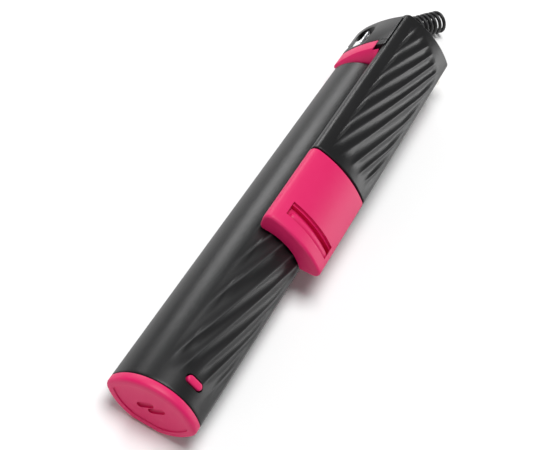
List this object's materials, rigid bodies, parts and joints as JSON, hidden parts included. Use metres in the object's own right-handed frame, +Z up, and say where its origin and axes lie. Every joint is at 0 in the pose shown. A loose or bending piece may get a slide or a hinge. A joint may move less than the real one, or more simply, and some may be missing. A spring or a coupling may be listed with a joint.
{
  "type": "folding selfie stick",
  "caption": "Folded wired selfie stick: lens-shaped fluted handle, telescopic rods, tilting spring clamp with sliding jaw, shutter button and a curly cord with plug.",
  "frame": {"origin": "bottom centre of the bounding box of the stick, the cord left out", "axes": "+Y along the stick from the end cap to the head, +X to the clamp side, +Z up"},
  "size_m": [0.0334, 0.2065, 0.0243],
  "materials": {
    "black_plastic": "satin",
    "pink_plastic": "satin",
    "inner_plastic": "matt",
    "bright_steel": "polished",
    "dark_steel": "blackened",
    "gold_contact": "plated",
    "circuit_board": "satin",
    "cord_jacket": "satin"
  },
  "bodies": {
    "handle": {"handle_front_shell": "black_plastic", "handle_back_shell": "black_plastic", "end_cap": "pink_plastic", "mouth_plug": "inner_plastic", "tube_anchor": "inner_plastic", "outer_tube": "bright_steel", "shutter_board": "circuit_board", "tact_switch": "dark_steel", "switch_dome": "gold_contact", "case_screw_1": "dark_steel", "case_screw_2": "dark_steel", "case_screw_3": "dark_steel", "case_screw_4": "dark_steel"},
    "button": {"shutter_button": "pink_plastic"},
    "rod_1": {"rod_section_1": "bright_steel", "rod_bush_1": "inner_plastic"},
    "rod_2": {"rod_section_2": "bright_steel", "rod_bush_2": "inner_plastic"},
    "rod_3": {"rod_section_3": "bright_steel", "rod_bush_3": "inner_plastic"},
    "rod_4": {"rod_section_4": "bright_steel", "rod_bush_4": "inner_plastic", "rod_eye": "bright_steel"},
    "clamp": {"hinge_pin": "bright_steel", "hinge_washer_1": "gold_contact", "hinge_washer_2": "gold_contact", "clamp_shell": "black_plastic", "head_block": "black_plastic", "clamp_cover": "inner_plastic", "clamp_bulkhead": "inner_plastic", "guide_rod_1": "bright_steel", "guide_rod_2": "bright_steel", "return_spring_1": "bright_steel", "return_spring_2": "bright_steel", "fixed_jaw": "pink_plastic", "head_screw_1": "dark_steel", "head_screw_2": "dark_steel", "strap_pin": "bright_steel", "cord_gland": "cord_jacket", "cord_lead": "cord_jacket", "cord_coil": "cord_jacket", "cord_tail": "cord_jacket", "plug_body": "cord_jacket", "plug_tip": "gold_contact"},
    "jaw": {"sliding_jaw": "pink_plastic", "jaw_carriage": "inner_plastic", "jaw_grip_bar": "pink_plastic", "carriage_screw": "dark_steel"}
  },
  "joints": [
    {"name": "shutter_press", "type": "slide", "parent": "handle", "child": "button", "axis": [-0.4695, 0, -0.8829], "range_m": [0, 0.0005], "stiffness_N_per_m": 400},
    {"name": "rod_slide_1", "type": "slide", "parent": "handle", "child": "rod_1", "axis": [0, 1, 0], "range_m": [0, 0.1213]},
    {"name": "rod_slide_2", "type": "slide", "parent": "rod_1", "child": "rod_2", "axis": [0, 1, 0], "range_m": [0, 0.11545]},
    {"name": "rod_slide_3", "type": "slide", "parent": "rod_2", "child": "rod_3", "axis": [0, 1, 0], "range_m": [0, 0.1096]},
    {"name": "rod_slide_4", "type": "slide", "parent": "rod_3", "child": "rod_4", "axis": [0, 1, 0], "range_m": [0, 0.10375]},
    {"name": "clamp_tilt", "type": "hinge", "parent": "rod_4", "child": "clamp", "pos_m": [-0.00305, 0.0725, 0.0086], "axis": [-1, 0, 0], "range_deg": [0, 100]},
    {"name": "jaw_pull", "type": "slide", "parent": "clamp", "child": "jaw", "axis": [0, -1, 0], "range_m": [0, 0.016], "stiffness_N_per_m": 160, "deforming": ["return_spring_1", "return_spring_2"]}
  ]
}
